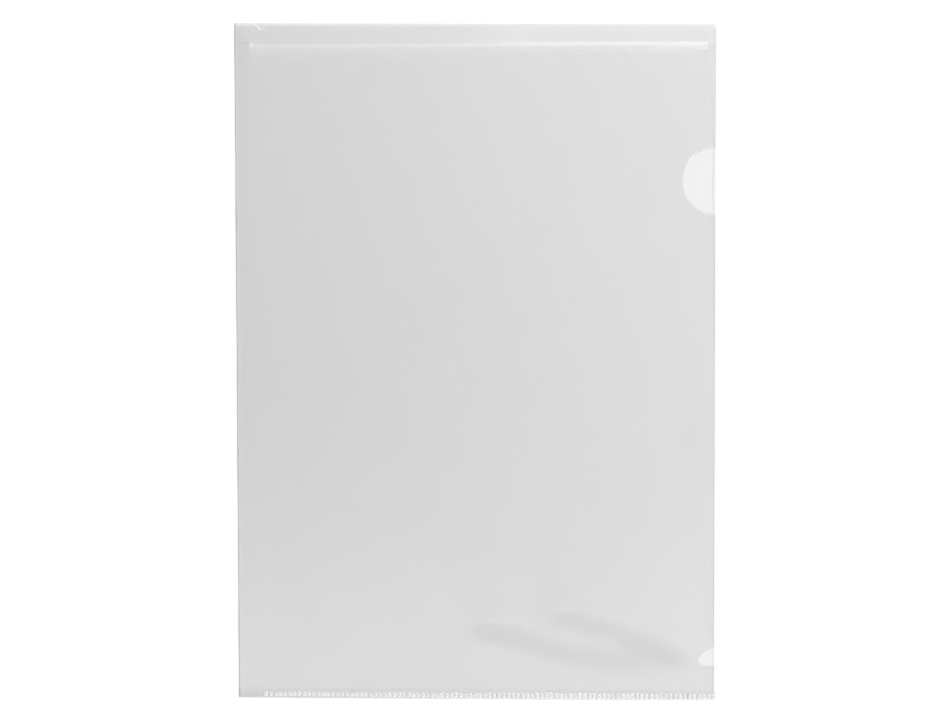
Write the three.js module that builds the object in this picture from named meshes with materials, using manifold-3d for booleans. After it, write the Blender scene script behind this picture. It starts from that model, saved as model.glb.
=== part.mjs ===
// A clear L-shaped folder for loose sheets of paper, lying flat on its back sheet.
//
// The folder is one polypropylene film. It is folded along its left edge and welded along its bottom
// edge, and it is open at the top and at the right. X runs to the right, Y up the page and Z up
// through the folder, in millimetres. The origin is the middle of the underside.
//
// The front sheet bends when its free corner is lifted. It is divided along that bend into a panel
// that stays down and a leaf that turns up, because a solid can't curl.

import * as THREE from "three";
import { mergeGeometries, mergeVertices } from "three/addons/utils/BufferGeometryUtils.js";
import Module from "manifold-3d";

const wasm = await Module();
wasm.setup();

// Outline of the folder
const folderWidth = 220;
const folderHeight = 310;
const cornerRadius = 1;
const backEdgeStep = 0.5; // right edge of the back sheet, inside the right edge of the front sheet
const frontTopStep = 1.4; // top edge of the front sheet, below the top edge of the back sheet

// Film and pocket
const filmThickness = 0.18;
const pocketGap = 0.4;

// Thumb notch in the right edge of the front sheet
const thumbNotchRadius = 15.2;
const thumbNotchOutset = 0.5; // centre of its arc, outside the edge
const thumbNotchDrop = 72; // centre of its arc, below the top edge of the folder

// Relief notch in the front sheet, which stops the weld from tearing when the leaf is lifted
const reliefRadius = 10.7;
const reliefOutset = 1.7; // centre of its arc, outside the edge
const reliefRise = 13.3; // centre of its arc, above the bottom edge
const reliefFloor = 15.4; // level side, above the bottom edge
const reliefCorner = 2.5;

// Stiffening bead pressed up along the top of the front sheet
const beadWidth = 3.7;
const beadHeight = 0.6;
const beadDrop = 8.7; // middle of the bead, below the top edge of the folder
const beadLeftInset = 6.3; // from the fold
const beadRightInset = 2.9; // from the open edge

// Weld along the bottom edge
const sealWidth = 0.7; // plain line where the hot blade cuts and seals the film
const weldWidth = 3.6;
const weldInset = 14; // start of the row of marks, from the fold
const markPitch = 2.2;
const markSpacing = 0.9; // clear film between two marks
const markDepth = 0.3;
const markRim = 0.2; // clear film above and below the tallest mark
const firstMarkHeight = 1.75; // at the fold's end of the row, where the blade trims the tool's mark
const markTopStep = 1; // top of the first mark, below the top of the last one

// Bend that the leaf turns about, from the fold down to the relief notch
const bendDrop = 6.4; // its start on the fold, below the top edge of the folder
const bendClearance = 0.3;

// Fineness of the curves
const arcSteps = 12; // pairs of sides in an arc
const markSteps = 4; // pairs of sides round a mark
const beadCapSteps = 4;
const beadSides = 20;

// Places worked out from the sizes
const left = -folderWidth / 2;
const right = folderWidth / 2;
const bottom = -folderHeight / 2;
const top = folderHeight / 2;
const thickness = 2 * filmThickness + pocketGap;
const foldRadius = thickness / 2;
const sheetLeft = left + foldRadius;
const frontTop = top - frontTopStep;
const frontLow = thickness - filmThickness;
const weldLeft = left + weldInset;

// The rounded inner corner of the relief notch touches its arc from inside and its floor from above.
const reliefCentre = new THREE.Vector2(right + reliefOutset, bottom + reliefRise);
const cornerLift = reliefFloor + reliefCorner - reliefRise;
const cornerAngle = Math.asin(cornerLift / (reliefRadius - reliefCorner));
const cornerCentre = new THREE.Vector2(-Math.cos(cornerAngle), Math.sin(cornerAngle))
  .multiplyScalar(reliefRadius - reliefCorner)
  .add(reliefCentre);
const bendEnd = new THREE.Vector2(-Math.cos(cornerAngle), Math.sin(cornerAngle))
  .multiplyScalar(reliefRadius)
  .add(reliefCentre);
const bendStart = new THREE.Vector2(sheetLeft, top - bendDrop);
const bendAlong = bendEnd.clone().sub(bendStart).normalize();
const bendAcross = new THREE.Vector2(-bendAlong.y, bendAlong.x); // towards the free corner

const filmMaterial = {
  color: 0xe4e6e7,
  metalness: 0,
  transparent: true,
  opacity: 0.35,
};

// A closed mesh as a solid for cutting and joining
function solidOf(geometry) {
  const bare = geometry.clone();
  bare.deleteAttribute("normal");
  bare.deleteAttribute("uv");
  const merged = mergeVertices(bare, 1e-4);
  const mesh = new wasm.Mesh({
    numProp: 3,
    vertProperties: new Float32Array(merged.attributes.position.array),
    triVerts: new Uint32Array(merged.index.array),
  });
  return new wasm.Manifold(mesh);
}

// A cut or joined solid as a mesh again
function geometryOf(solid) {
  const mesh = solid.getMesh();
  const geometry = new THREE.BufferGeometry();
  geometry.setAttribute("position", new THREE.BufferAttribute(mesh.vertProperties, 3));
  geometry.setIndex(new THREE.BufferAttribute(mesh.triVerts, 1));
  geometry.computeVertexNormals();
  return geometry;
}

// A flat outline raised from one height by a thickness
function plate(shape, low, height, steps = arcSteps) {
  const geometry = new THREE.ExtrudeGeometry(shape, {
    depth: height,
    bevelEnabled: false,
    curveSegments: steps,
  });
  return geometry.translate(0, 0, low);
}

// Lower boundary of a sheet, from its right edge to the fold: it follows the weld and the seal
function followWeld(shape, edge) {
  shape.lineTo(edge, bottom + weldWidth);
  shape.lineTo(weldLeft, bottom + weldWidth);
  shape.lineTo(weldLeft, bottom + sealWidth);
  shape.lineTo(sheetLeft, bottom + sealWidth);
}

// Back sheet: a plain panel with one rounded corner
function backSheet() {
  const edge = right - backEdgeStep;
  const shape = new THREE.Shape();
  shape.moveTo(sheetLeft, top);
  shape.lineTo(edge - cornerRadius, top);
  shape.absarc(edge - cornerRadius, top - cornerRadius, cornerRadius, Math.PI / 2, 0, true);
  followWeld(shape, edge);
  return plate(shape, 0, filmThickness);
}

// Front sheet before it is divided: a panel with both notches in its right edge
function frontSheet() {
  const shape = new THREE.Shape();
  const notchY = top - thumbNotchDrop;
  const notchX = right + thumbNotchOutset;
  const notchReach = Math.acos(thumbNotchOutset / thumbNotchRadius);
  const reliefReach = Math.acos(reliefOutset / reliefRadius);
  shape.moveTo(sheetLeft, frontTop);
  shape.lineTo(right - cornerRadius, frontTop);
  shape.absarc(right - cornerRadius, frontTop - cornerRadius, cornerRadius, Math.PI / 2, 0, true);
  shape.absarc(notchX, notchY, thumbNotchRadius, Math.PI - notchReach, Math.PI + notchReach, false);
  shape.absarc(
    reliefCentre.x,
    reliefCentre.y,
    reliefRadius,
    Math.PI - reliefReach,
    Math.PI - cornerAngle,
    false,
  );
  shape.absarc(
    cornerCentre.x,
    cornerCentre.y,
    reliefCorner,
    Math.PI - cornerAngle,
    1.5 * Math.PI,
    false,
  );
  shape.lineTo(right, bottom + reliefFloor);
  followWeld(shape, right);
  return solidOf(plate(shape, frontLow, filmThickness));
}

// The space that holds the leaf: beyond the bend, right of one place and above the relief notch
function leafSpace(clearance, reachLeft) {
  const far = folderWidth + folderHeight;
  const start = bendAcross.clone().multiplyScalar(clearance).add(bendStart);
  const corners = [
    bendAlong.clone().multiplyScalar(-far).add(start),
    bendAlong.clone().multiplyScalar(far).add(start),
  ];
  corners.push(bendAcross.clone().multiplyScalar(far).add(corners[1]));
  corners.push(bendAcross.clone().multiplyScalar(far).add(corners[0]));
  const beyondBend = solidOf(plate(new THREE.Shape(corners), -thickness, 4 * thickness));
  const window = new THREE.Shape();
  window.moveTo(reachLeft, cornerCentre.y);
  window.lineTo(far, cornerCentre.y);
  window.lineTo(far, far);
  window.lineTo(reachLeft, far);
  return beyondBend.intersect(solidOf(plate(window, -thickness, 4 * thickness)));
}

// Rounded ridge with its middle line at one height. The half below that height is left out.
function beadDome(halfWidth, height, level) {
  const length = folderWidth - beadLeftInset - beadRightInset - beadWidth;
  const middle = (left + beadLeftInset + right - beadRightInset) / 2;
  const capsule = new THREE.CapsuleGeometry(halfWidth, length, beadCapSteps, beadSides);
  capsule.rotateZ(Math.PI / 2);
  capsule.scale(1, 1, height / halfWidth);
  capsule.translate(middle, top - beadDrop, level);
  return solidOf(capsule);
}

// Front panel: the part of the front sheet between the fold, the weld and the bend
function frontPanel() {
  return geometryOf(frontSheet().subtract(leafSpace(0, left)));
}

// Front leaf: the free part of the front sheet, with the bead pressed up in its film
function frontLeaf() {
  const flat = frontSheet().intersect(leafSpace(bendClearance, sheetLeft + bendClearance));
  const ridge = beadDome(beadWidth / 2, beadHeight, thickness);
  const hollow = beadDome(beadWidth / 2 - filmThickness, beadHeight, frontLow);
  const below = new THREE.Shape();
  below.moveTo(left, bottom);
  below.lineTo(right, bottom);
  below.lineTo(right, top);
  below.lineTo(left, top);
  const underFilm = solidOf(plate(below, -folderWidth, folderWidth + frontLow + filmThickness / 2));
  return geometryOf(flat.add(ridge.subtract(underFilm)).subtract(hollow));
}

// Spine fold: the film turned through half a circle along the left edge
function spineFold() {
  const shape = new THREE.Shape();
  const length = folderHeight - sealWidth;
  shape.absarc(sheetLeft, foldRadius, foldRadius, Math.PI / 2, 1.5 * Math.PI, false);
  shape.absarc(sheetLeft, foldRadius, pocketGap / 2, 1.5 * Math.PI, Math.PI / 2, true);
  return plate(shape, 0, length).rotateX(Math.PI / 2).translate(0, top, 0);
}

// The row of oval marks that the weld tool presses into the film. Their tops and heights grow
// steadily from the fold to the open edge.
function weldMarks() {
  const count = Math.floor((folderWidth - weldInset - markSpacing) / markPitch);
  const lastHeight = weldWidth - 2 * markRim;
  const marks = [];
  for (let i = 0; i < count; i += 1) {
    const share = i / Math.max(count - 1, 1); // 0 at the open edge, 1 at the fold's end
    const height = lastHeight + (firstMarkHeight - lastHeight) * share;
    const markTop = bottom + weldWidth - markRim - markTopStep * share;
    const x = right - markSpacing / 2 - markPitch / 2 - i * markPitch;
    const oval = new THREE.Shape();
    oval.absellipse(x, markTop - height / 2, (markPitch - markSpacing) / 2, height / 2, 0, 2 * Math.PI);
    marks.push(plate(oval, thickness - markDepth, 2 * markDepth, markSteps));
  }
  return solidOf(mergeGeometries(marks));
}

// Bottom weld: both layers of film fused into one strip, with the plain seal running on to the fold
function bottomWeld() {
  const shape = new THREE.Shape();
  shape.moveTo(left, bottom);
  shape.lineTo(right, bottom);
  followWeld(shape, right);
  shape.lineTo(left, bottom + sealWidth);
  return geometryOf(solidOf(plate(shape, 0, thickness)).subtract(weldMarks()));
}

function filmPiece(name, geometry, roughness) {
  const mesh = new THREE.Mesh(geometry, new THREE.MeshStandardMaterial({ ...filmMaterial, roughness }));
  mesh.name = name;
  return mesh;
}

const folder = new THREE.Group();
folder.add(filmPiece("back_sheet", backSheet(), 0.3));
folder.add(filmPiece("spine_fold", spineFold(), 0.2));
folder.add(filmPiece("front_panel", frontPanel(), 0.3));
folder.add(filmPiece("front_leaf", frontLeaf(), 0.3));
folder.add(filmPiece("bottom_weld", bottomWeld(), 0.5));

export default folder;
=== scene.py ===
import bpy
import numpy as np
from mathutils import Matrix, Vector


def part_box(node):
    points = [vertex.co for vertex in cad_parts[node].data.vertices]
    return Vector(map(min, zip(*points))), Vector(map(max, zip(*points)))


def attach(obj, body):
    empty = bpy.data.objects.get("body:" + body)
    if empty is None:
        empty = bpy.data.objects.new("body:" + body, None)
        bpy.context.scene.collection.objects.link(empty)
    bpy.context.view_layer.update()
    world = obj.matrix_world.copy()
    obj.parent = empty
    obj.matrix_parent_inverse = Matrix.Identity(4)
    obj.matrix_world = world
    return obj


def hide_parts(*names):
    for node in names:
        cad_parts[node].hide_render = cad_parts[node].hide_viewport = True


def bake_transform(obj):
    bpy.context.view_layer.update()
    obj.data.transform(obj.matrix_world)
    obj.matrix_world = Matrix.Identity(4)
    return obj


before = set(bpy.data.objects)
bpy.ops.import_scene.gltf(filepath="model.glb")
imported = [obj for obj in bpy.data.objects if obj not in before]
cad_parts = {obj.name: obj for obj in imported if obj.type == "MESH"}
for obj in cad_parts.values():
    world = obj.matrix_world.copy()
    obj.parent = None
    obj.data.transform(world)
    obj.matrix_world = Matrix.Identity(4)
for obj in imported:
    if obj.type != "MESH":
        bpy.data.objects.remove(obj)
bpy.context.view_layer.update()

# Back sheet
#
# The rear panel, which the folder lies on. It is one half of a single clear polypropylene film, die
# cut to shape. Its left side runs on into the fold and its bottom into the weld. Its right and top
# sides are bare cut edges. Shade is painted along the right one and in a narrow strip along the top,
# with a faint darker line a millimetre inside the right one.

mm = 0.001
film = 0.18 * mm
back_low, back_high = (np.array(corner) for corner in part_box("back_sheet"))
weld_low, weld_high = (np.array(corner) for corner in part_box("bottom_weld"))
weld_top = weld_high[1]
top = back_high[1]
corner_cut = 1 * mm
# A sheet's places stand this far inside a cut edge, and no further apart than the coarse step beyond.
edge_steps = np.array([0.12, 0.25, 0.4, 0.55, 0.75, 1.0, 1.25, 1.6, 2.1]) * mm
coarse = 2.5 * mm
lean_across = 0.00203
lean_up = 0.0041
sharp_turn = np.radians(40)
film_index = 1.49
cloud_scale = 45
rough_spread = 0.3
haze_spread = 0.6
# White of the haze, also used for the whitening and the painted highlights.
haze_and_highlight_white = (0.95, 0.95, 0.95, 1)
crease_start = np.array([-101.7, 155.0]) * mm
crease_end = np.array([-98.3, 152.0]) * mm
crease_width = 0.28 * mm
crease_fade = 0.6 * mm
crease_height = 0.02 * mm


def smooth_step(value, low, high):
    """0 below low, 1 above high, and 3t^2 - 2t^3 between, where t is the share of the way."""
    share = np.clip((value - low) / (high - low), 0, 1)
    return share * share * (3 - 2 * share)


def bell(value, middle, width):
    """The bell curve exp(-d^2 / 2), where d is the distance from the middle in widths."""
    return np.exp(-(((value - middle) / width) ** 2) / 2)


def steps(*stops):
    """Places along a line: from each stop to the next in even steps, each at most the number between."""
    places = [np.array([stops[0]])]
    for low, step, high in zip(stops[:-2:2], stops[1::2], stops[2::2]):
        count = max(int(np.ceil((high - low) / step - 1e-6)), 1)
        places.append(np.linspace(low, high, count + 1)[1:])
    return np.concatenate(places)


def out_of_square(points):
    """Leans the film as it was cut: x shifts with the place up the page and y with the place across."""
    leaned = points.copy()
    leaned[..., 0] -= lean_across * points[..., 1]
    leaned[..., 1] -= lean_up * points[..., 0]
    return leaned


def closed_mesh(name, points, faces, **shades):
    """An object of one closed mesh, smooth except over sharp turns, with shades kept as point values."""
    mesh = bpy.data.meshes.new(name)
    mesh.from_pydata(out_of_square(points).tolist(), [], faces)
    mesh.polygons.foreach_set("use_smooth", np.ones(len(faces), bool))
    mesh.set_sharp_from_angle(angle=sharp_turn)
    for label, values in shades.items():
        attribute = mesh.attributes.new(label, "FLOAT", "POINT")
        attribute.data.foreach_set("value", values.ravel().astype(np.float32))
    piece = bpy.data.objects.new(name, mesh)
    bpy.context.scene.collection.objects.link(piece)
    return piece


def film_sheet(name, x, y, z, edge, milk):
    """A closed sheet of film from rows and columns of places on its middle surface.

    The upper skin is the grid raised by half the film's thickness and the lower skin the grid dropped
    by as much, and a strip of faces joins them along the rim. Only the upper skin gets the white of
    whitening and painted highlights.
    """
    rows, columns = x.shape
    middle = np.stack([x, y, z], axis=-1).reshape(-1, 3)
    lift = np.array([0, 0, film / 2])
    index = np.arange(rows * columns).reshape(rows, columns)
    quads = np.stack([index[:-1, :-1], index[:-1, 1:], index[1:, 1:], index[1:, :-1]], axis=-1)
    quads = quads.reshape(-1, 4)
    rim = np.concatenate([index[0, :-1], index[:-1, -1], index[-1, :0:-1], index[:0:-1, 0]])
    onward = np.roll(rim, -1)
    under = rows * columns
    side = np.stack([rim, rim + under, onward + under, onward], axis=-1)
    faces = np.concatenate([quads, quads[:, ::-1] + under, side]).tolist()
    points = np.concatenate([middle + lift, middle - lift])
    whitening_and_highlight = np.concatenate([milk.ravel(), np.zeros(under)])
    return closed_mesh(name, points, faces, edge=np.tile(edge.ravel(), 2), milk=whitening_and_highlight)


def film_material(name, haze, roughness, clarity, edge_dark):
    """Clear film: light passes straight on, apart from what the gloss mirrors and the haze scatters.

    Each skin mirrors a Fresnel share of the light, the same from outside as from inside. A small share
    is scattered white by the haze. More white is added where pressing or fusing whitens the film, and
    as painted highlights on the ridge, the crease, the notch and inside the right edge. That white is
    hidden from shadow and diffuse rays, so it casts no shadow. Some light is lost at each skin, and
    shade is painted beside cut edges, round the fold, along the crease, beside the ridge's knob and
    between the weld marks.
    """
    material = bpy.data.materials.new(name)
    material.use_nodes = True
    nodes, links = material.node_tree.nodes, material.node_tree.links
    nodes.clear()
    place = nodes.new("ShaderNodeTexCoord")
    cloud = nodes.new("ShaderNodeTexNoise")
    cloud.inputs["Scale"].default_value = cloud_scale
    cloud.inputs["Detail"].default_value = 1
    links.new(place.outputs["Object"], cloud.inputs["Vector"])
    rough = nodes.new("ShaderNodeMapRange")
    rough.inputs["To Min"].default_value = roughness * (1 - rough_spread)
    rough.inputs["To Max"].default_value = roughness * (1 + rough_spread)
    links.new(cloud.outputs["Fac"], rough.inputs["Value"])
    cloudy = nodes.new("ShaderNodeMapRange")
    cloudy.inputs["To Min"].default_value = haze * (1 - haze_spread)
    cloudy.inputs["To Max"].default_value = haze * (1 + haze_spread)
    links.new(cloud.outputs["Fac"], cloudy.inputs["Value"])
    # The white share of each place: whitening and painted highlights.
    whitening_and_highlight = nodes.new("ShaderNodeAttribute")
    whitening_and_highlight.attribute_name = "milk"
    # Whitening and painted highlights are hidden from shadow and diffuse rays, so they cast no shadow.
    path = nodes.new("ShaderNodeLightPath")
    passing = nodes.new("ShaderNodeMath")
    passing.operation = "MAXIMUM"
    links.new(path.outputs["Is Shadow Ray"], passing.inputs[0])
    links.new(path.outputs["Is Diffuse Ray"], passing.inputs[1])
    stopping = nodes.new("ShaderNodeMath")
    stopping.operation = "SUBTRACT"
    stopping.inputs[0].default_value = 1
    links.new(passing.outputs[0], stopping.inputs[1])
    milky = nodes.new("ShaderNodeMath")
    milky.operation = "MULTIPLY_ADD"
    milky.use_clamp = True
    links.new(whitening_and_highlight.outputs["Fac"], milky.inputs[0])
    links.new(stopping.outputs[0], milky.inputs[1])
    links.new(cloudy.outputs["Result"], milky.inputs[2])
    # The edge attribute: painted shade by cut edges, the fold, the crease, the ridge's knob and the
    # weld.
    edge = nodes.new("ShaderNodeAttribute")
    edge.attribute_name = "edge"
    tint = nodes.new("ShaderNodeMapRange")
    tint.inputs["To Min"].default_value = clarity
    tint.inputs["To Max"].default_value = clarity - edge_dark
    links.new(edge.outputs["Fac"], tint.inputs["Value"])
    clear = nodes.new("ShaderNodeBsdfTransparent")
    links.new(tint.outputs["Result"], clear.inputs["Color"])
    gloss = nodes.new("ShaderNodeBsdfGlossy")
    links.new(rough.outputs["Result"], gloss.inputs["Roughness"])
    facing = nodes.new("ShaderNodeNewGeometry")
    index = nodes.new("ShaderNodeMapRange")
    index.inputs["To Min"].default_value = film_index
    index.inputs["To Max"].default_value = 1 / film_index
    links.new(facing.outputs["Backfacing"], index.inputs["Value"])
    mirror = nodes.new("ShaderNodeFresnel")
    links.new(index.outputs["Result"], mirror.inputs["IOR"])
    skin = nodes.new("ShaderNodeMixShader")
    links.new(mirror.outputs["Fac"], skin.inputs["Fac"])
    links.new(clear.outputs["BSDF"], skin.inputs[1])
    links.new(gloss.outputs["BSDF"], skin.inputs[2])
    white = nodes.new("ShaderNodeBsdfDiffuse")
    white.inputs["Color"].default_value = haze_and_highlight_white
    whole = nodes.new("ShaderNodeMixShader")
    links.new(milky.outputs["Value"], whole.inputs["Fac"])
    links.new(skin.outputs["Shader"], whole.inputs[1])
    links.new(white.outputs["BSDF"], whole.inputs[2])
    output = nodes.new("ShaderNodeOutputMaterial")
    links.new(whole.outputs["Shader"], output.inputs["Surface"])
    return material


def crease(x, y, offset):
    """How near a place is to the small slanting crease at the top left: a bell beside a short line."""
    length = np.hypot(*(crease_end - crease_start))
    along = (crease_end - crease_start) / length
    ahead = (x - crease_start[0]) * along[0] + (y - crease_start[1]) * along[1]
    aside = (x - crease_start[0]) * along[1] - (y - crease_start[1]) * along[0]
    within = smooth_step(ahead, -crease_fade, 0) * (1 - smooth_step(ahead, length, length + crease_fade))
    return within * bell(aside, offset, crease_width)


def crease_milk(x, y):
    """Painted highlight along the crease's upper side."""
    return 0.9 * crease(x, y, -0.15 * mm)


def crease_shade(x, y):
    """Painted shade along the crease's lower side."""
    return 0.2 * crease(x, y, 0.35 * mm)


def cut_dark(inboard):
    """Painted shade at a bare cut edge: 1 at the edge, falling to 0 at a quarter of a millimetre inside
    it.
    """
    return 1 - smooth_step(inboard, 0.03 * mm, 0.24 * mm)


clear_film = film_material("clear_film", haze=0.004, roughness=0.12, clarity=0.953, edge_dark=0.14)

rows = np.concatenate([steps(weld_top, coarse, top - 2.1 * mm), top - edge_steps[-2::-1], [top]])
columns = steps(back_low[0], coarse, -104 * mm, 0.3 * mm, -97 * mm, coarse, back_high[0] - 6 * mm)
rounding = np.clip(rows - (top - corner_cut), 0, corner_cut)
side = back_high[0] - corner_cut + np.sqrt(corner_cut ** 2 - rounding ** 2)
x = np.concatenate([
    np.broadcast_to(columns, (len(rows), len(columns))),
    side[:, None] - np.array([4 * mm, *edge_steps[::-1], 0]),
], axis=1)
y = np.broadcast_to(rows[:, None], x.shape)
inboard = side[:, None] - x
# A faint darker line a millimetre inside the right edge, strongest about the thumb notch's height.
inner_line = bell(inboard, 1.1 * mm, 0.22 * mm) * (0.06 + 0.26 * bell(y, 83 * mm, 20 * mm))
# Painted shade in a narrow strip along the top edge.
painted_edge_strip = 0.15 * smooth_step(y, top - 1.7 * mm, top - 1.3 * mm)
# Darkening: painted shade at the right edge, along the top and beside the crease, and the inner line.
edge = np.maximum.reduce([cut_dark(inboard), inner_line, painted_edge_strip, crease_shade(x, y)])
z = film / 2 + crease_height * crease(x, y, 0)
back_film = film_sheet("back_film", x, y, z, edge, crease_milk(x, y))
back_film.data.materials.append(clear_film)
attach(back_film, "pocket")
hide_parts("back_sheet")


# Spine fold
#
# The film turned through half a circle along the left edge. It was creased with a heated bar, is
# continuous with both sheets, and springs open a little, so its line wavers.

fold_low, fold_high = (np.array(corner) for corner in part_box("spine_fold"))
thickness = fold_high[2] - fold_low[2]
fold_line_x = fold_high[0]
fold_waver = 0.03 * mm
folded_film = film_material("folded_film", haze=0.004, roughness=0.15, clarity=0.953, edge_dark=0.2)


def half_tube(name, angles, rows):
    """The fold: an outer and an inner half circle about its axis, joined and carried along Y.

    The sum of two sine waves along Y moves its outside in and out a little.
    """
    middle_radius = (thickness - film) / 2
    radii = np.repeat([middle_radius + film / 2, middle_radius - film / 2], len(angles))
    turns = np.concatenate([angles, angles[::-1]])
    points = np.zeros((len(rows), len(turns), 3))
    waver = fold_waver * (np.sin(rows / (6.1 * mm)) + np.sin(rows / (14.7 * mm) + 1))[:, None]
    bulge = np.clip(-np.cos(turns), 0, None)
    points[:, :, 0] = fold_line_x + radii * np.cos(turns) + waver * bulge
    points[:, :, 1] = rows[:, None]
    points[:, :, 2] = thickness / 2 + radii * np.sin(turns)
    index = np.arange(points.shape[0] * points.shape[1]).reshape(points.shape[:2])
    around = np.roll(index, -1, axis=1)
    quads = np.stack([index[:-1], index[1:], around[1:], around[:-1]], axis=-1).reshape(-1, 4)
    first = np.arange(len(angles) - 1)
    last = len(turns) - 1 - first
    caps = np.stack([first, first + 1, last - 1, last], axis=-1)
    faces = np.concatenate([quads, index[0][caps], index[-1][caps[:, ::-1]]]).tolist()
    # Painted shade round the fold, strongest on its outside.
    fold_shade = np.broadcast_to(np.clip(0.25 + bulge, 0, 1), points.shape[:2])
    return closed_mesh(name, points.reshape(-1, 3), faces, edge=fold_shade, milk=0 * fold_shade)


fold_turn = np.radians(np.linspace(90, 270, 25))
fold_film = half_tube("fold_film", fold_turn, steps(weld_top, 1.5 * mm, top))
fold_film.data.materials.append(folded_film)
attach(fold_film, "pocket")
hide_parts("spine_fold")


# Front sheet
#
# The front half of the same film, held by the fold and the weld and free at the top and the right.
# The thumb notch and the relief notch are die cut in its right side, and a stiffening ridge is
# pressed up in it under the top edge. The loose film has buckled slightly.

right = back_high[0]
bottom = weld_low[1]
front_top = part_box("front_leaf")[1][1]
gap_closing = 0.33 * mm
notch_radius = 15.2 * mm
notch_centre = np.array([right + 0.5 * mm, top - 71.15 * mm])
relief_radius = 10.7 * mm
relief_centre = np.array([right + 2.2 * mm, bottom + 13.85 * mm])
relief_floor = bottom + 15.95 * mm
corner_radius = 2.5 * mm
corner_reach = relief_radius - corner_radius
corner_turn = np.arcsin((relief_floor + corner_radius - relief_centre[1]) / corner_reach)
corner_way = np.array([-np.cos(corner_turn), np.sin(corner_turn)])
corner_centre = relief_centre + corner_reach * corner_way
bend_start = np.array([fold_high[0], top - 6.4 * mm])
bend_end = relief_centre + relief_radius * corner_way
bead_y = top - 8.7 * mm
bead_left = fold_low[0] + 6.3 * mm
bead_right = right - 2.4 * mm
crest_low = 0.35 * mm
crest_slope = 0.0062
knob_height = 0.07 * mm
# Strength of the painted highlight on the ridge's knob.
knob_highlight = 0.6
groove_depth = 0.08 * mm
groove_width = 1.4 * mm


def arc_heights(middle, radius, first, last, count):
    """Heights of places spread evenly round an arc, from one angle above the level to another."""
    return middle + radius * np.sin(np.radians(np.linspace(first, last, count)))


def half_chord(y, centre, radius):
    """Half the width of a circle at height y, or less than 0 outside it."""
    reach = radius ** 2 - (y - centre[1]) ** 2
    return np.where(reach > 0, np.sqrt(np.clip(reach, 0, None)), -1)


def right_side(y):
    """The right side of the front sheet at height y: straight, with its two notches and round corner."""
    rounding = np.clip(y - (front_top - corner_cut), 0, corner_cut)
    side = right - corner_cut + np.sqrt(corner_cut ** 2 - rounding ** 2)
    side = np.minimum(side, notch_centre[0] - half_chord(y, notch_centre, notch_radius))
    relief = relief_centre[0] - half_chord(y, relief_centre, relief_radius)
    side = np.where(y >= bend_end[1], np.minimum(side, relief), side)
    corner = corner_centre[0] - half_chord(y, corner_centre, corner_radius)
    return np.where((y < bend_end[1]) & (y > relief_floor), corner, side)


def pocket_gap(x, y):
    """The gap between the sheets, which nearly closes towards the weld but stays open at the fold."""
    closing = gap_closing * smooth_step(x, fold_line_x, fold_line_x + 8 * mm)
    return thickness - 2 * film - closing * (1 - smooth_step(y, weld_top, weld_top + 60 * mm))


def crest_drop(x):
    """How far the ridge's crest has sunk at x: it runs down a little from right to left."""
    return crest_low + crest_slope * (right - x)


def above_crest(x, y):
    """How far a place is above the ridge's crest."""
    return y - bead_y + crest_drop(x)


def ridge_ends(x):
    """1 along the ridge and 0 beyond it, with a short slope at each end."""
    left_end = smooth_step(x, bead_left, bead_left + 1.4 * mm)
    return left_end * (1 - smooth_step(x, bead_right - 1.8 * mm, bead_right))


def ridge_knob(x, y):
    """The small knob at the ridge's left end, as a round bell."""
    return bell(x, bead_left + 1.6 * mm, 0.6 * mm) * bell(above_crest(x, y), 0.6 * mm, 0.45 * mm)


def ridge_height(x, y):
    """The pressed ridge under the top edge, in three parts that are added.

    From its crest the film slopes evenly down to the top edge and sinks away below. On that stands a
    low crest, steep above and flat below, which ends in short slopes, with a knob at its left end.
    """
    above = above_crest(x, y)
    reach = front_top - bead_y
    rise = 0.42 + 0.2 * bell(x, -42 * mm, 28 * mm) - 0.2 * smooth_step(x, -10 * mm, 40 * mm)
    plain = rise * np.where(above > 0, 1 - 0.9 * above / reach, np.exp(above / (25 * mm)))
    plain = plain * smooth_step(x, fold_line_x, fold_line_x + 6 * mm)
    width = np.where(above > 0, 0.6 * mm, 9 * mm)
    crest = (0.03 + 0.02 * smooth_step(x, -60 * mm, 60 * mm)) * ridge_ends(x) * bell(above, 0, width)
    return mm * (plain + crest) + knob_height * ridge_knob(x, y)


def ridge_highlight(x, y):
    """The ridge's painted highlight, which also stands for whitening by the pressing: at the knob, and
    at and below the crest, growing to the right.
    """
    above = above_crest(x, y)
    along = smooth_step(x, -100 * mm, 140 * mm)
    fall = (2.8 - 0.6 * along) * mm
    across = np.where(above > 0, bell(above, 0, 0.35 * mm), np.exp(above / fall))
    strong = 0.31 + 0.22 * along + 0.24 * smooth_step(x, 70 * mm, 95 * mm)
    return strong * ridge_ends(x) * across + knob_highlight * ridge_knob(x, y)


def groove(x, y):
    """The film dips beside the fold and rises again, over a width that wavers, below the ridge only."""
    beside = x - fold_line_x
    width = groove_width + 0.25 * mm * (np.sin(y / (8.3 * mm)) + np.sin(y / (3.7 * mm) + 2))
    dip = smooth_step(beside, 0, width) - smooth_step(beside, width, width + 5 * mm)
    return -groove_depth * dip * (1 - smooth_step(y, bead_y - 3 * mm, bead_y + 3 * mm))


def buckle(x, y, along, middle, half, height):
    """A long low buckle: the film rises across a path that runs to the right, and falls slowly above.

    Its middle, half width and height are given in millimetres at some places along. It swells from
    nothing about its first end, over a width that fans out above the path.
    """
    middle, half, height = (np.interp(x / mm, along, size) * mm for size in (middle, half, height))
    first = along[0] * mm
    rise = smooth_step(y, middle - half, middle + half)
    sink = smooth_step(y, middle + half, middle + half + 60 * mm)
    fan = np.clip(y - middle - 0.4 * half, 0, None)
    swell = smooth_step(x, first - 12 * mm - 2.5 * fan, first - 2 * mm + 4 * fan)
    return height * swell * (rise - sink)


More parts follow.
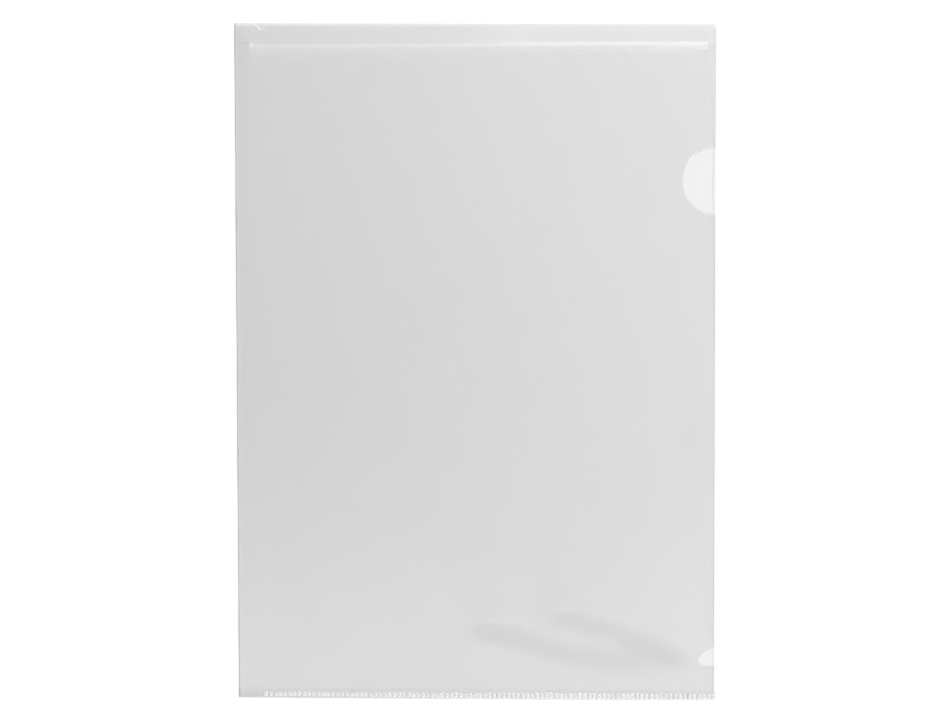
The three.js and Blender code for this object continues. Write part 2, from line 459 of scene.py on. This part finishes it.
def buckles(x, y):
    """The two buckles at the lower right, and the low wide swellings of the rest of the loose film."""
    long = buckle(
        x, y,
        along=(4, 12, 24, 31, 43, 61, 80, 106),
        middle=(-122.5, -124.5, -128, -131, -134.5, -136.5, -137, -138),
        half=(9, 9, 9.5, 9, 9, 9.5, 10, 10),
        height=(0.82, 0.73, 0.64, 0.56, 0.51, 0.49, 0.43, 0),
    )
    short = buckle(
        x, y,
        along=(39, 47, 53, 61, 69, 77, 85, 106),
        middle=(-116, -117.5, -119.5, -121.5, -124, -128, -132, -141),
        half=(9.5, 9.5, 9, 8.5, 8.5, 8.5, 8.5, 8.5),
        height=(0.93, 0.83, 0.72, 0.63, 0.56, 0.5, 0.44, 0),
    )
    swell = smooth_step(y, -108 * mm, -78 * mm) - smooth_step(y, -78 * mm, -15 * mm)
    swell = 0.3 * mm * swell * smooth_step(x, 35 * mm, 85 * mm)
    curl = 0.25 * mm * smooth_step(x, 90 * mm, right) * bell(y, -34 * mm, 17 * mm)
    ripple = np.sin(x / (23 * mm) + 0.6 + y / (70 * mm)) * np.sin(y / (31 * mm) - 0.4)
    free = smooth_step(x, fold_line_x, fold_line_x + 50 * mm)
    free = free * smooth_step(y, weld_top, weld_top + 30 * mm)
    return long + short + swell + curl + 0.03 * mm * free * (1 + ripple)


notch_end = np.degrees(np.arccos((notch_centre[0] - right) / notch_radius))
relief_end = np.degrees(np.arccos((relief_centre[0] - right) / relief_radius))
rows = np.concatenate([
    steps(weld_top, coarse, bead_y - 10 * mm, 0.5 * mm, bead_y - 4 * mm),
    steps(bead_y - 4 * mm, 0.4 * mm, bead_y - 1 * mm, 0.14 * mm, bead_y),
    steps(bead_y, 0.14 * mm, bead_y + 1.6 * mm, 0.4 * mm, front_top),
    front_top - edge_steps[:5],
    arc_heights(notch_centre[1], notch_radius, -notch_end, notch_end, 45),
    arc_heights(relief_centre[1], relief_radius, np.degrees(corner_turn), relief_end, 13),
    arc_heights(corner_centre[1], corner_radius, -89.9, np.degrees(corner_turn), 11),
    [relief_floor - 0.25 * mm],
])
rows = np.unique(np.round(rows, 8))
rows = rows[np.concatenate([[True], np.diff(rows) > 0.004 * mm])]
side = right_side(rows)
stretch_from = right - 22 * mm
plain_x = np.concatenate([
    steps(fold_high[0], 0.3 * mm, fold_high[0] + 3 * mm, 0.8 * mm, -104.8 * mm, 0.3 * mm, -98 * mm),
    steps(-98 * mm, coarse, stretch_from)[1:],
])
inner = side - edge_steps[-1]
share = np.concatenate([np.linspace(0, 1, 8)[1:-1] * 0.72, np.linspace(0.72, 1, 13)])
x = np.concatenate([
    np.broadcast_to(plain_x, (len(rows), len(plain_x))),
    stretch_from + (inner - stretch_from)[:, None] * share,
    side[:, None] - np.append(edge_steps[-2::-1], 0),
], axis=1)
near_ridge = smooth_step(rows, bead_y - 30 * mm, bead_y - 10 * mm)
near_ridge = near_ridge * (1 - smooth_step(rows, bead_y + 1.6 * mm, front_top))
y = rows[:, None] - near_ridge[:, None] * crest_drop(x)
z = 1.5 * film + pocket_gap(x, y) + ridge_height(x, y) + groove(x, y) + buckles(x, y)
z = z + crease_height * crease(x, y, 0)
# Painted highlight in a thin line just inside the right edge, on the upper part of the sheet.
painted_edge_strip = 0.6 * bell(right - x, 0.6 * mm, 0.18 * mm) * smooth_step(y, 90 * mm, 140 * mm)
# Painted shade: two small dark spots left of the ridge's knob.
knob_shade_spots = bell(x, bead_left, 0.35 * mm) + bell(x, bead_left - 1.8 * mm, 0.35 * mm)
knob_shade_spots = 0.6 * knob_shade_spots * bell(above_crest(x, y), 1.2 * mm, 0.3 * mm)
from_notch = np.hypot(x - notch_centre[0], y - notch_centre[1]) - notch_radius
around_notch = np.degrees(np.arctan2(y - notch_centre[1], notch_centre[0] - x))
glint = (1 - smooth_step(from_notch, 0.35 * mm, 0.7 * mm)) * (0.15 + 0.85 * bell(around_notch, 38, 12))
# Painted shade at the right edge, left of the ridge's knob and along the crease's lower side.
edge = np.maximum.reduce([cut_dark(right - x), knob_shade_spots, crease_shade(x, y)])
# White: painted highlights at the crease, the notch's upper left arc, inside the right edge and along
# the ridge, which also stands for whitening by the pressing.
milk = crease_milk(x, y) + glint + painted_edge_strip + ridge_highlight(x, y)
front_film = film_sheet("front_film", x, y, z, edge, milk)
front_film.data.materials.append(clear_film)
across = np.array([bend_start[1] - bend_end[1], bend_end[0] - bend_start[0]])
across = across / np.hypot(*across)
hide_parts("front_panel", "front_leaf")
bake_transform(front_film)


# Bottom weld
#
# The last few millimetres of both sheets, fused by a heated tool with a row of oval teeth and cut to
# length by a hot blade. The film is white where a tooth pressed, with a painted highlight on the right
# of each mark, and bowed in between, where shade is painted, as it is along the cut and at both ends.

welded_film = film_material("welded_film", haze=0.004, roughness=0.15, clarity=0.953, edge_dark=0.14)
seal = 0.5 * mm
weld_sag = 0.38 * mm
mark_pitch = 2.2 * mm
mark_gap = 0.2 * mm
first_mark = -97.4 * mm
# The two films are apart over this many rows of places from the weld's top.
inner_rows = 18
random = np.random.default_rng(11)


def weld_marks(x, y):
    """How far each place is fused, white and painted dark, from 0 to 1, by the nearest tooth of the
    tool.

    A mark is an oval of its own height, width, lean and place. It is fused all over and white round its
    rim, with a painted highlight that makes the rim brightest on the right. Shade is painted along a
    thin line between each mark and the next.
    """
    count = int((weld_high[0] - first_mark) / mark_pitch) + 1
    number = np.clip(np.round((x - first_mark) / mark_pitch), 0, count - 1).astype(int)
    along = number / (count - 1)
    shift, lean, wide, tall, rim, fill, low = random.uniform(-1, 1, (7, count))
    centre_x = first_mark + number * mark_pitch + 0.16 * mm * shift[number]
    height = (1.65 + 1.15 * smooth_step(along, 0.1, 1)) * mm * (1 + 0.12 * tall[number])
    foot = bottom + (0.7 - 0.6 * smooth_step(along, 0.1, 0.9)) * mm + 0.1 * mm * low[number]
    centre_y = foot + height / 2
    half_wide = (0.88 + 0.1 * wide[number]) * mm
    off_x = (x - centre_x - 0.18 * lean[number] * (y - centre_y)) / half_wide
    off_y = (y - centre_y) / (height / 2)
    away = (np.abs(off_x) ** 3 + np.abs(off_y) ** 3) ** (1 / 3)
    inside = 1 - smooth_step(away, 0.8, 1.1)
    # The rim's painted highlight, brightest on each mark's right.
    side = 0.85 + 0.25 * rim[number] + (0.5 + 0.2 * fill[number]) * np.clip(off_x, -1, 1)
    milk = side * bell(away, 0.76, 0.24) + 0.08 * (1 - smooth_step(away, 0.5, 0.8))
    # Painted shade along a thin line between each mark and the next.
    between = bell(np.abs(x - first_mark - number * mark_pitch), mark_pitch / 2, mark_gap)
    dark = (0.7 + 0.25 * lean[number]) * between * (1 - smooth_step(np.abs(off_y), 0.5, 1.1))
    there = smooth_step(x, first_mark - mark_pitch, first_mark)
    there = there * (1 - smooth_step(y, weld_top - 0.4 * mm, weld_top))
    return inside * there, np.clip(milk, 0, 1) * there, np.clip(dark, 0, 1) * there


def hairpin(x, y, gap):
    """Points and faces of the weld: an upper and a lower film, one solid below the inner rows.

    Each column of places is a loop: down the upper film's outer skin, back along the underside, in
    along the lower film's inner skin and out along the upper film's inner skin.
    """
    rows, columns = x.shape
    ends = [-1, 0]
    mouth = [0, inner_rows - 1]
    upper = np.stack([x, y, 2 * film + gap], axis=-1)
    under = np.stack([x[ends], y[ends], np.zeros((2, columns))], axis=-1)
    inner_low = np.stack([x[mouth], y[mouth], np.full((2, columns), film)], axis=-1)
    inner_high = np.stack([x, y, film + gap + 0.01 * mm], axis=-1)[inner_rows - 1::-1]
    loop = np.concatenate([upper, under, inner_low, inner_high])
    index = np.arange(len(loop) * columns).reshape(len(loop), columns)
    around = np.roll(index, -1, axis=0)
    quads = np.stack([index[:, :-1], around[:, :-1], around[:, 1:], index[:, 1:]], axis=-1)
    step = np.arange(inner_rows - 1)
    back = len(loop) - 1 - step
    cap = np.stack([step, step + 1, back - 1, back], axis=-1).tolist()
    cap += [[rows, place, place + 1] for place in range(inner_rows - 1, rows - 1)]
    cap += [
        [rows, rows + 1, rows + 2, rows + 3],
        [rows, rows + 3, rows + 4],
        [rows, rows + 4, inner_rows - 1],
    ]
    left_end = [index[face[::-1], 0].tolist() for face in cap]
    right_end = [index[face, -1].tolist() for face in cap]
    return loop.reshape(-1, 3), quads.reshape(-1, 4).tolist() + left_end + right_end


def along_loop(shade):
    """The shades of the upper film's places, repeated for the loop's other places."""
    return np.concatenate([shade, shade[[-1, 0]], shade[[0, inner_rows - 1]], shade[inner_rows - 1::-1]])


columns = steps(weld_low[0], 0.19 * mm, weld_high[0])
rows = np.concatenate([
    np.linspace(weld_top, bottom + seal, 17),
    np.linspace(bottom + seal, bottom, 5)[1:],
])
x, y = np.meshgrid(columns, rows)
fused, milk, dark = weld_marks(x, y)
sealed = 1 - smooth_step(y, bottom + seal, bottom + seal + 0.3 * mm)
gap = pocket_gap(x, y) * (1 - np.maximum(fused, sealed))
# Painted shade along the weld's cut bottom edge, stronger to the left.
cut_shade = 1 - smooth_step(y - bottom, 0.15 * mm, 0.45 * mm)
cut_shade = cut_shade * (0.7 - 0.45 * smooth_step(x, -90 * mm, 0))
at_fold = 1 - smooth_step(x - weld_low[0], 0.3 * mm, 0.6 * mm)
at_right = 0.8 * (1 - smooth_step(weld_high[0] - x, 0.05 * mm, 0.3 * mm))
# Painted shade along the cut, between the marks and at both ends, and a little darkening over the seal.
edge = np.maximum.reduce([cut_shade, dark, 0.06 * sealed, at_fold, at_right])
sag = weld_sag * (1 - smooth_step(x, 60 * mm, 105 * mm))
points, faces = hairpin(x, y - sag * (weld_top - y) / (weld_top - bottom), gap)
shade = along_loop(milk)
shade[len(rows):] = 0
weld_strip = closed_mesh("weld_strip", points, faces, edge=along_loop(edge), milk=shade)
weld_strip.data.materials.append(welded_film)
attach(weld_strip, "pocket")
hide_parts("bottom_weld")


# Table
#
# A plain white table top under the folder. It is lit by the studio, and glows a little where the
# lens sees it, so that it stays white in the picture.

floor_gap = 0.1 * mm
table_reach = 3.0
table_grey = (0.45, 0.45, 0.45, 1)
table_glow = 0.58
table_mesh = bpy.data.meshes.new("table")
corners = table_reach * np.array([(-1, -1), (1, -1), (1, 1), (-1, 1)])
table_mesh.from_pydata([(*corner, -floor_gap) for corner in corners.tolist()], [], [(0, 1, 2, 3)])
table = bpy.data.objects.new("table", table_mesh)
bpy.context.scene.collection.objects.link(table)
table_white = bpy.data.materials.new("table_white")
table_white.use_nodes = True
nodes, links = table_white.node_tree.nodes, table_white.node_tree.links
nodes.clear()
paint = nodes.new("ShaderNodeBsdfDiffuse")
paint.inputs["Color"].default_value = table_grey
glow = nodes.new("ShaderNodeEmission")
ray = nodes.new("ShaderNodeLightPath")
seen = nodes.new("ShaderNodeMath")
seen.operation = "MAXIMUM"
links.new(ray.outputs["Is Camera Ray"], seen.inputs[0])
links.new(ray.outputs["Is Glossy Ray"], seen.inputs[1])
level = nodes.new("ShaderNodeMath")
level.operation = "MULTIPLY"
level.inputs[1].default_value = table_glow
links.new(seen.outputs[0], level.inputs[0])
links.new(level.outputs[0], glow.inputs["Strength"])
both = nodes.new("ShaderNodeAddShader")
links.new(paint.outputs["BSDF"], both.inputs[0])
links.new(glow.outputs["Emission"], both.inputs[1])
output = nodes.new("ShaderNodeOutputMaterial")
links.new(both.outputs["Shader"], output.inputs["Surface"])
table_mesh.materials.append(table_white)


# Studio
#
# A pale room with a soft dark patch overhead to the left, where the camera hangs, and a dark strip
# at the near side, where its stand is. A soft lamp is at the upper right.

world = bpy.data.worlds.new("studio")
bpy.context.scene.world = world
world.use_nodes = True
nodes, links = world.node_tree.nodes, world.node_tree.links
nodes.clear()


def sum_of(first, second, operation="ADD"):
    """A Math node of two inputs, each a number or the output of another node."""
    node = nodes.new("ShaderNodeMath")
    node.operation = operation
    for socket, value in zip(node.inputs, (first, second)):
        if isinstance(value, (int, float)):
            socket.default_value = value
        else:
            links.new(value, socket)
    return node.outputs[0]


def ramp(value, low, high, start, end):
    """A smooth Map Range node: start below low and end above high."""
    node = nodes.new("ShaderNodeMapRange")
    node.interpolation_type = "SMOOTHSTEP"
    node.inputs["From Min"].default_value = low
    node.inputs["From Max"].default_value = high
    node.inputs["To Min"].default_value = start
    node.inputs["To Max"].default_value = end
    links.new(value, node.inputs["Value"])
    return node.outputs["Result"]


dark_x, dark_y, dark_lean = -0.224, -0.03, -0.387
dark_wide, dark_up, dark_down = 0.466, 1.18, 0.29
rim_level = 1.8
far_away, far_share = 1.8, 0.36
stand_y, stand_half, stand_soft = -0.31, 0.03, 0.075
way = nodes.new("ShaderNodeTexCoord")
split = nodes.new("ShaderNodeSeparateXYZ")
links.new(way.outputs["Generated"], split.inputs["Vector"])
from_y = sum_of(split.outputs["Y"], -dark_y)
lean = sum_of(from_y, -dark_lean, "MULTIPLY")
from_x = sum_of(sum_of(split.outputs["X"], -dark_x), lean)
share_x = sum_of(from_x, 1 / dark_wide, "MULTIPLY")
share_up = sum_of(sum_of(from_y, 0, "MAXIMUM"), 1 / dark_up, "MULTIPLY")
share_down = sum_of(sum_of(from_y, 0, "MINIMUM"), 1 / dark_down, "MULTIPLY")
squares = sum_of(sum_of(share_x, 2, "POWER"), sum_of(share_up, 2, "POWER"))
squares = sum_of(squares, sum_of(share_down, 2, "POWER"))
away = sum_of(squares, 0.5, "POWER")
room = sum_of(ramp(away, 0, 1, 0, rim_level), ramp(away, 1, far_away, 1, far_share), "MULTIPLY")
from_stand = sum_of(sum_of(split.outputs["Y"], -stand_y), 0, "ABSOLUTE")
room = sum_of(room, ramp(from_stand, stand_half, stand_soft, 0, 1), "MULTIPLY")
room = sum_of(room, ramp(split.outputs["Z"], -0.02, 0.01, 0, 1), "MULTIPLY")
ray = nodes.new("ShaderNodeLightPath")
elsewhere = sum_of(1, ray.outputs["Is Camera Ray"], "SUBTRACT")
sky = nodes.new("ShaderNodeBackground")
sky.inputs["Color"].default_value = (1, 1, 1, 1)
room = sum_of(room, elsewhere, "MULTIPLY")
links.new(sum_of(room, ray.outputs["Is Camera Ray"]), sky.inputs["Strength"])
output = nodes.new("ShaderNodeOutputWorld")
links.new(sky.outputs["Background"], output.inputs["Surface"])

lamp_data = bpy.data.lights.new("window", "AREA")
lamp_data.shape = "RECTANGLE"
lamp_data.size = 0.5
lamp_data.size_y = 0.4
lamp_data.energy = 1.7
lamp = bpy.data.objects.new("window", lamp_data)
lamp.location = (0.25, 0.55, 1.1)
lamp.rotation_euler = (np.radians(-26), np.radians(12), 0)
bpy.context.scene.collection.objects.link(lamp)


# Camera
#
# It hangs almost straight above the folder, where the photograph was taken from. Its long lens
# keeps the sheet's sides nearly parallel, and it is turned by a degree or two to face the table.

camera_data = bpy.data.cameras.new("camera")
camera_data.lens = 80
camera_data.sensor_width = 36
camera = bpy.data.objects.new("camera", camera_data)
camera.location = (0.01432, 0.04461, 0.96867)
camera.rotation_euler = (np.radians(-2.6004), np.radians(0.8676), np.radians(-0.0011))
bpy.context.scene.collection.objects.link(camera)
bpy.context.scene.camera = camera
bpy.context.scene.view_settings.view_transform = "Standard"
